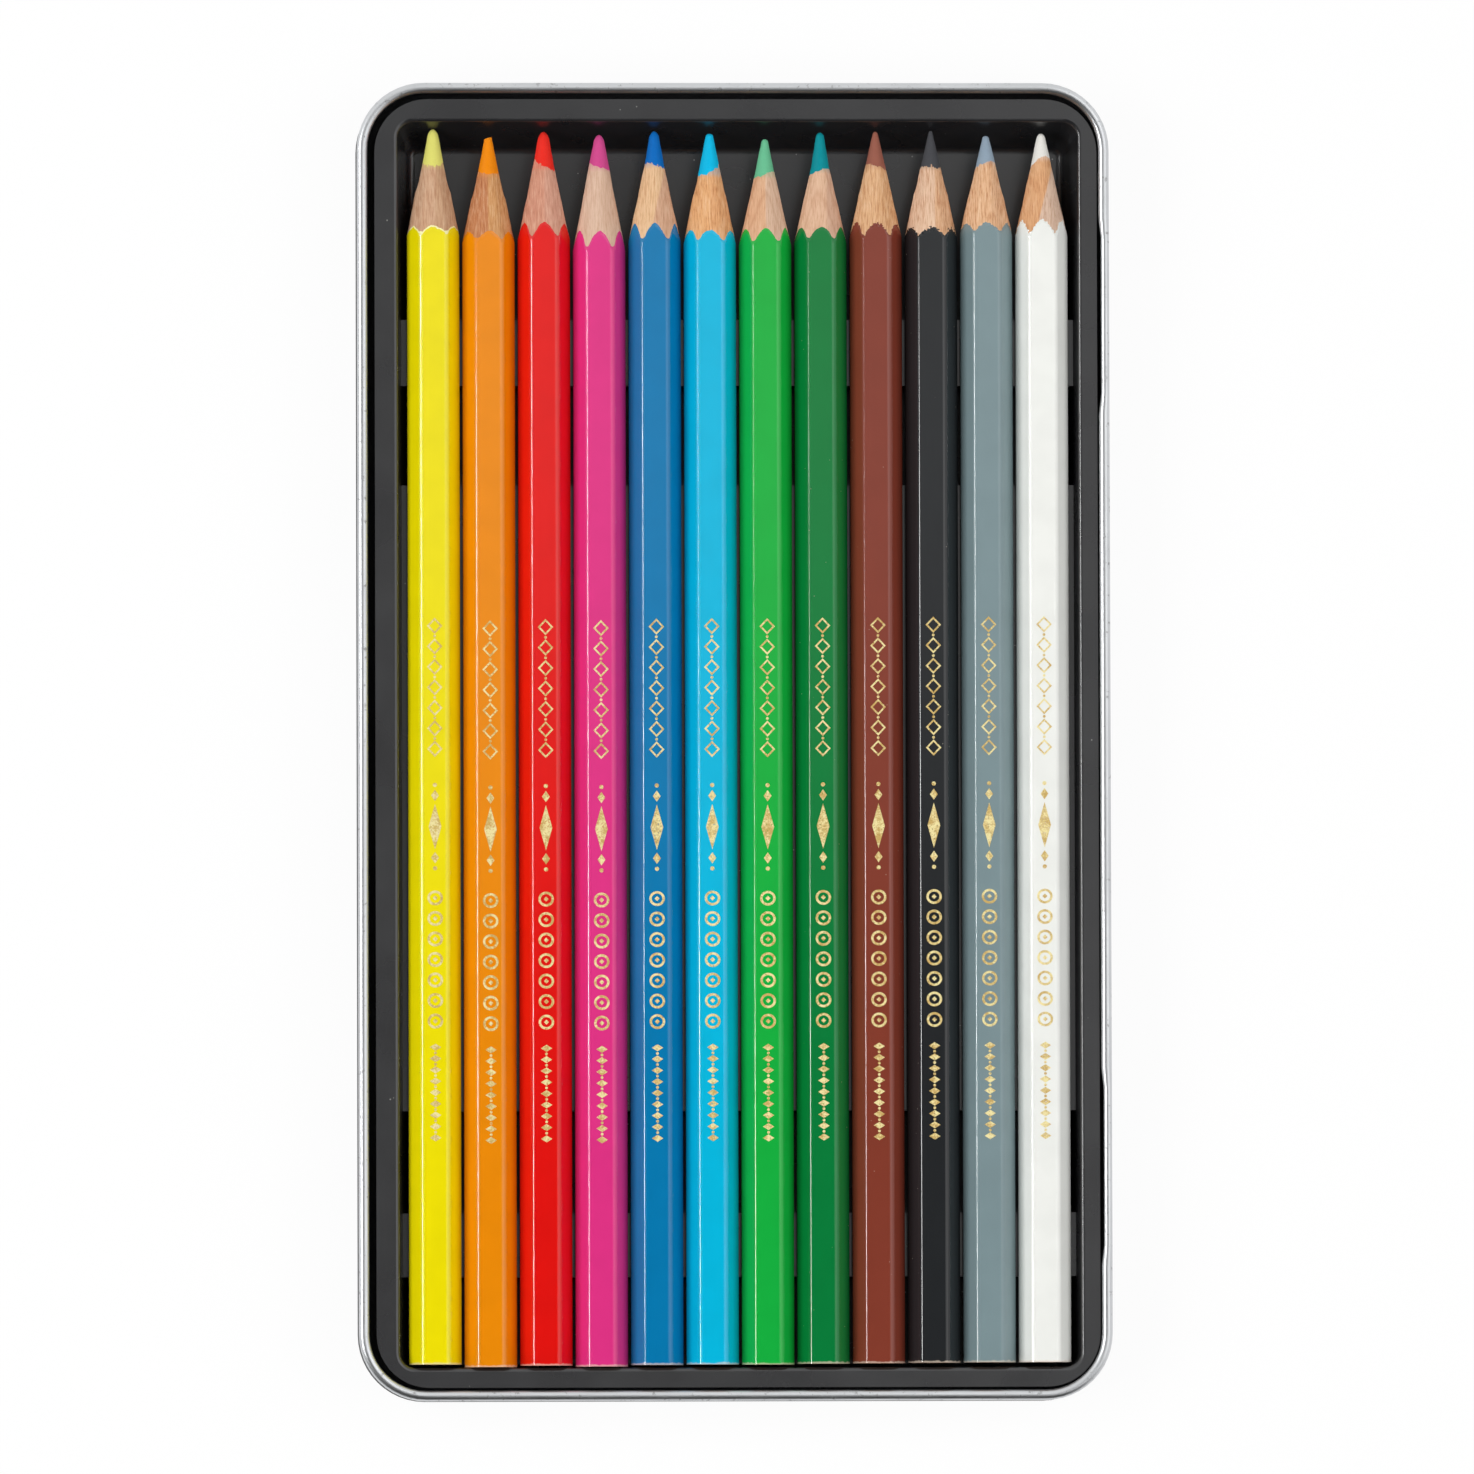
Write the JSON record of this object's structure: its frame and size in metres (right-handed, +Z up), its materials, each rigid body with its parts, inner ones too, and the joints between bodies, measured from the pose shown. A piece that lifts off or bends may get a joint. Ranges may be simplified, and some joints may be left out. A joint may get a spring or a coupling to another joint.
{
  "type": "watercolour pencil set",
  "caption": "Flat open tin with a curled rim, holding a grooved black tray and a row of sharpened hexagonal colour pencils that lift out one by one.",
  "frame": {"origin": "centre of the tin's outline, on the surface that it stands on", "axes": "+Z up out of the tin, +Y along the pencils towards their points, +X across the row from yellow to white"},
  "size_m": [0.1066, 0.1866, 0.0105],
  "materials": {
    "tinplate": "satin",
    "tray_plastic": "semi-gloss",
    "pencil_wood": "raw, sharpened",
    "yellow_lacquer": "glossy lacquer",
    "yellow_core": "matt wax and pigment",
    "orange_lacquer": "glossy lacquer",
    "orange_core": "matt wax and pigment",
    "red_lacquer": "glossy lacquer",
    "red_core": "matt wax and pigment",
    "pink_lacquer": "glossy lacquer",
    "pink_core": "matt wax and pigment",
    "blue_lacquer": "glossy lacquer",
    "blue_core": "matt wax and pigment",
    "sky_blue_lacquer": "glossy lacquer",
    "sky_blue_core": "matt wax and pigment",
    "light_green_lacquer": "glossy lacquer",
    "light_green_core": "matt wax and pigment",
    "dark_green_lacquer": "glossy lacquer",
    "dark_green_core": "matt wax and pigment",
    "brown_lacquer": "glossy lacquer",
    "brown_core": "matt wax and pigment",
    "black_lacquer": "glossy lacquer",
    "black_core": "matt wax and pigment",
    "grey_lacquer": "glossy lacquer",
    "grey_core": "matt wax and pigment",
    "white_lacquer": "glossy lacquer",
    "white_core": "matt wax and pigment"
  },
  "bodies": {
    "tin": {"tin_base": "tinplate"},
    "tray": {"pencil_tray": "tray_plastic"},
    "yellow_pencil": {"yellow_pencil_core": "yellow_core", "yellow_pencil_upper_slat": "pencil_wood", "yellow_pencil_lower_slat": "pencil_wood", "yellow_pencil_lacquer": "yellow_lacquer"},
    "orange_pencil": {"orange_pencil_core": "orange_core", "orange_pencil_upper_slat": "pencil_wood", "orange_pencil_lower_slat": "pencil_wood", "orange_pencil_lacquer": "orange_lacquer"},
    "red_pencil": {"red_pencil_core": "red_core", "red_pencil_upper_slat": "pencil_wood", "red_pencil_lower_slat": "pencil_wood", "red_pencil_lacquer": "red_lacquer"},
    "pink_pencil": {"pink_pencil_core": "pink_core", "pink_pencil_upper_slat": "pencil_wood", "pink_pencil_lower_slat": "pencil_wood", "pink_pencil_lacquer": "pink_lacquer"},
    "blue_pencil": {"blue_pencil_core": "blue_core", "blue_pencil_upper_slat": "pencil_wood", "blue_pencil_lower_slat": "pencil_wood", "blue_pencil_lacquer": "blue_lacquer"},
    "sky_blue_pencil": {"sky_blue_pencil_core": "sky_blue_core", "sky_blue_pencil_upper_slat": "pencil_wood", "sky_blue_pencil_lower_slat": "pencil_wood", "sky_blue_pencil_lacquer": "sky_blue_lacquer"},
    "light_green_pencil": {"light_green_pencil_core": "light_green_core", "light_green_pencil_upper_slat": "pencil_wood", "light_green_pencil_lower_slat": "pencil_wood", "light_green_pencil_lacquer": "light_green_lacquer"},
    "dark_green_pencil": {"dark_green_pencil_core": "dark_green_core", "dark_green_pencil_upper_slat": "pencil_wood", "dark_green_pencil_lower_slat": "pencil_wood", "dark_green_pencil_lacquer": "dark_green_lacquer"},
    "brown_pencil": {"brown_pencil_core": "brown_core", "brown_pencil_upper_slat": "pencil_wood", "brown_pencil_lower_slat": "pencil_wood", "brown_pencil_lacquer": "brown_lacquer"},
    "black_pencil": {"black_pencil_core": "black_core", "black_pencil_upper_slat": "pencil_wood", "black_pencil_lower_slat": "pencil_wood", "black_pencil_lacquer": "black_lacquer"},
    "grey_pencil": {"grey_pencil_core": "grey_core", "grey_pencil_upper_slat": "pencil_wood", "grey_pencil_lower_slat": "pencil_wood", "grey_pencil_lacquer": "grey_lacquer"},
    "white_pencil": {"white_pencil_core": "white_core", "white_pencil_upper_slat": "pencil_wood", "white_pencil_lower_slat": "pencil_wood", "white_pencil_lacquer": "white_lacquer"}
  },
  "joints": [
    {"name": "tray_lift", "type": "slide", "parent": "tin", "child": "tray", "axis": [0, 0, 1], "range_m": [0, 0.03]},
    {"name": "yellow_pencil_lift", "type": "slide", "parent": "tray", "child": "yellow_pencil", "axis": [0, 0, 1], "range_m": [0, 0.04]},
    {"name": "orange_pencil_lift", "type": "slide", "parent": "tray", "child": "orange_pencil", "axis": [0, 0, 1], "range_m": [0, 0.04]},
    {"name": "red_pencil_lift", "type": "slide", "parent": "tray", "child": "red_pencil", "axis": [0, 0, 1], "range_m": [0, 0.04]},
    {"name": "pink_pencil_lift", "type": "slide", "parent": "tray", "child": "pink_pencil", "axis": [0, 0, 1], "range_m": [0, 0.04]},
    {"name": "blue_pencil_lift", "type": "slide", "parent": "tray", "child": "blue_pencil", "axis": [0, 0, 1], "range_m": [0, 0.04]},
    {"name": "sky_blue_pencil_lift", "type": "slide", "parent": "tray", "child": "sky_blue_pencil", "axis": [0, 0, 1], "range_m": [0, 0.04]},
    {"name": "light_green_pencil_lift", "type": "slide", "parent": "tray", "child": "light_green_pencil", "axis": [0, 0, 1], "range_m": [0, 0.04]},
    {"name": "dark_green_pencil_lift", "type": "slide", "parent": "tray", "child": "dark_green_pencil", "axis": [0, 0, 1], "range_m": [0, 0.04]},
    {"name": "brown_pencil_lift", "type": "slide", "parent": "tray", "child": "brown_pencil", "axis": [0, 0, 1], "range_m": [0, 0.04]},
    {"name": "black_pencil_lift", "type": "slide", "parent": "tray", "child": "black_pencil", "axis": [0, 0, 1], "range_m": [0, 0.04]},
    {"name": "grey_pencil_lift", "type": "slide", "parent": "tray", "child": "grey_pencil", "axis": [0, 0, 1], "range_m": [0, 0.04]},
    {"name": "white_pencil_lift", "type": "slide", "parent": "tray", "child": "white_pencil", "axis": [0, 0, 1], "range_m": [0, 0.04]}
  ]
}
